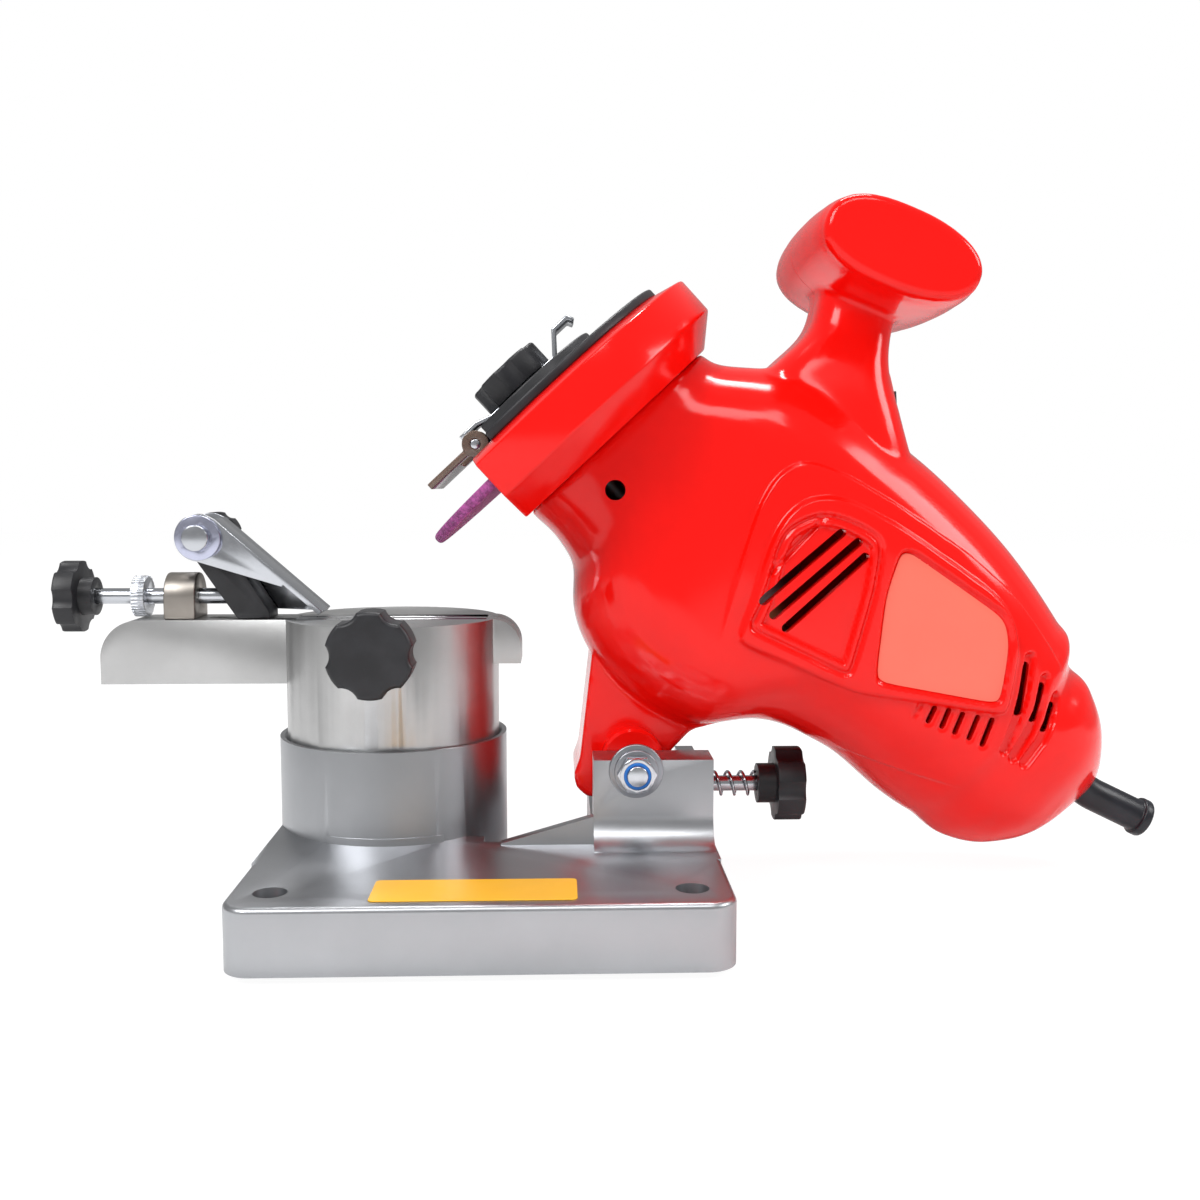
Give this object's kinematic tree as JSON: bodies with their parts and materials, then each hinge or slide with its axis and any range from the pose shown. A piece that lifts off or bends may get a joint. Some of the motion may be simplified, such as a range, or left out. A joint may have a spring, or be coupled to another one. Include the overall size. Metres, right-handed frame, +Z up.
{
  "type": "electric chainsaw sharpener",
  "caption": "Bench chain sharpener: a tilting motor head with a guarded grinding wheel over a swivelling chain vise on a bolt-down cast base.",
  "frame": {"origin": "on the underside of the base casting, in the plane of the chain and midway between the two bench holes", "axes": "+Z up; +X along the chain in the vise, from the feed screw towards the motor; +Y across the chain, away from the bench"},
  "size_m": [0.3511, 0.15, 0.207],
  "materials": {
    "base_metal": "satin, cast and brushed",
    "vise_metal": "satin, turned",
    "jaw_steel": "ground",
    "zinc_steel": "bright zinc plated",
    "nylon_ring": "plain",
    "black_plastic": "moulded",
    "red_plastic": "gloss, moulded",
    "smoked_plastic": "smoked, see-through",
    "abrasive": "open grain",
    "plate_yellow": "printed, bare",
    "rubber": "soft",
    "motor_steel": "laminated and ground",
    "copper": "enamelled wire",
    "carbon": "pressed carbon"
  },
  "bodies": {
    "base": {"base_casting": "base_metal", "base_label": "plate_yellow", "hinge_bolt": "zinc_steel", "hinge_washers": "zinc_steel", "hinge_lock_washer": "zinc_steel", "hinge_nut": "zinc_steel", "hinge_nut_insert": "nylon_ring", "depth_spring": "zinc_steel"},
    "vise": {"turret_body": "vise_metal", "fixed_jaw": "jaw_steel", "swivel_bolt": "zinc_steel", "swivel_washer": "zinc_steel", "feed_block": "vise_metal"},
    "jaw": {"moving_jaw": "jaw_steel"},
    "clamp": {"clamp_screw": "zinc_steel", "clamp_knob": "black_plastic"},
    "carriage": {"pawl_support": "black_plastic", "pawl_bolt": "zinc_steel", "pawl_washer": "zinc_steel"},
    "feed": {"feed_screw": "zinc_steel", "feed_knob": "black_plastic"},
    "feed_lock": {"lock_nut": "zinc_steel"},
    "pawl": {"pawl": "zinc_steel"},
    "pawl_knob": {"pawl_knob": "black_plastic"},
    "depth_rod": {"depth_screw": "zinc_steel"},
    "depth_knob": {"depth_knob": "black_plastic"},
    "head": {"housing_left": "red_plastic", "housing_right": "red_plastic", "housing_screws": "zinc_steel", "wheel_guard": "red_plastic", "guard_screws": "zinc_steel", "guard_cover": "black_plastic", "cover_stud": "zinc_steel", "visor_bracket": "zinc_steel", "visor_hinge": "black_plastic", "visor_pin": "zinc_steel", "front_bearing": "motor_steel", "rear_bearing": "motor_steel", "stator_core": "motor_steel", "field_windings": "copper", "brush_holders": "copper", "carbon_brushes": "carbon", "brush_springs": "zinc_steel", "switch_plate": "black_plastic", "switch_body": "black_plastic", "capacitor": "black_plastic", "cord_guard": "rubber", "cord_clamp": "black_plastic"},
    "rotor": {"grinding_wheel": "abrasive", "inner_flange": "zinc_steel", "outer_flange": "zinc_steel", "wheel_nut": "zinc_steel", "armature_shaft": "motor_steel", "armature_core": "motor_steel", "armature_winding": "copper", "commutator": "copper", "fan": "black_plastic"},
    "visor": {"visor": "smoked_plastic"},
    "cover_knob": {"cover_knob": "black_plastic"},
    "rocker": {"rocker": "black_plastic"}
  },
  "joints": [
    {"name": "vise_swivel", "type": "hinge", "parent": "base", "child": "vise", "pos_m": [-0.0323, 0, 0.03], "axis": [0, 0, 1], "range_deg": [-35, 35]},
    {"name": "jaw_slide", "type": "slide", "parent": "vise", "child": "jaw", "axis": [0, 1, 0], "range_m": [-0.00238, 0.00119]},
    {"name": "clamp_turn", "type": "hinge", "parent": "jaw", "child": "clamp", "pos_m": [-0.0323, -0.04, 0.077], "axis": [0, 1, 0], "range_deg": [-860, 430]},
    {"name": "feed_slide", "type": "slide", "parent": "vise", "child": "carriage", "axis": [1, 0, 0], "range_m": [-0.00322, 0.0044]},
    {"name": "feed_turn", "type": "hinge", "parent": "carriage", "child": "feed", "pos_m": [-0.1, 0, 0.0893], "axis": [1, 0, 0], "range_deg": [-1450, 1981]},
    {"name": "lock_nut_turn", "type": "hinge", "parent": "feed", "child": "feed_lock", "pos_m": [-0.111, 0, 0.0893], "axis": [1, 0, 0], "range_deg": [-360, 360]},
    {"name": "pawl_lift", "type": "hinge", "parent": "carriage", "child": "pawl", "pos_m": [-0.091, 0, 0.108], "axis": [0, -1, 0], "range_deg": [0, 75]},
    {"name": "pawl_knob_turn", "type": "hinge", "parent": "carriage", "child": "pawl_knob", "pos_m": [-0.091, 0, 0.108], "axis": [0, 1, 0], "range_deg": [-360, 360]},
    {"name": "head_tilt", "type": "hinge", "parent": "base", "child": "head", "pos_m": [0.043, 0, 0.0405], "axis": [0, -1, 0], "range_deg": [0, 17]},
    {"name": "wheel_spin", "type": "hinge", "parent": "head", "child": "rotor", "pos_m": [0.0202, 0, 0.1421], "axis": [0.682, 0, -0.7314], "continuous": true},
    {"name": "visor_flip", "type": "hinge", "parent": "head", "child": "visor", "pos_m": [-0.00455, 0, 0.13653], "axis": [0, 1, 0], "range_deg": [0, 100]},
    {"name": "cover_knob_turn", "type": "hinge", "parent": "head", "child": "cover_knob", "pos_m": [0.00656, 0, 0.15673], "axis": [-0.682, 0, 0.7314], "range_deg": [-360, 360]},
    {"name": "rocker_tip", "type": "hinge", "parent": "head", "child": "rocker", "pos_m": [0.12143, 0, 0.14519], "axis": [0, -1, 0], "range_deg": [0, 20]},
    {"name": "depth_slide", "type": "slide", "parent": "base", "child": "depth_rod", "axis": [1, 0, 0], "range_m": [-0.0026, 0.008], "deforming": ["depth_spring"]},
    {"name": "depth_turn", "type": "hinge", "parent": "depth_rod", "child": "depth_knob", "pos_m": [0.09, 0, 0.02765], "axis": [1, 0, 0], "range_deg": [-1165, 3590]}
  ],
  "couplings": [
    {"joint": "clamp_turn", "follows": "jaw_slide", "rad_per_m": 6283.2},
    {"joint": "feed_turn", "follows": "feed_slide", "rad_per_m": 7854},
    {"joint": "depth_slide", "follows": "depth_turn", "m_per_rad": 0.00012732}
  ]
}
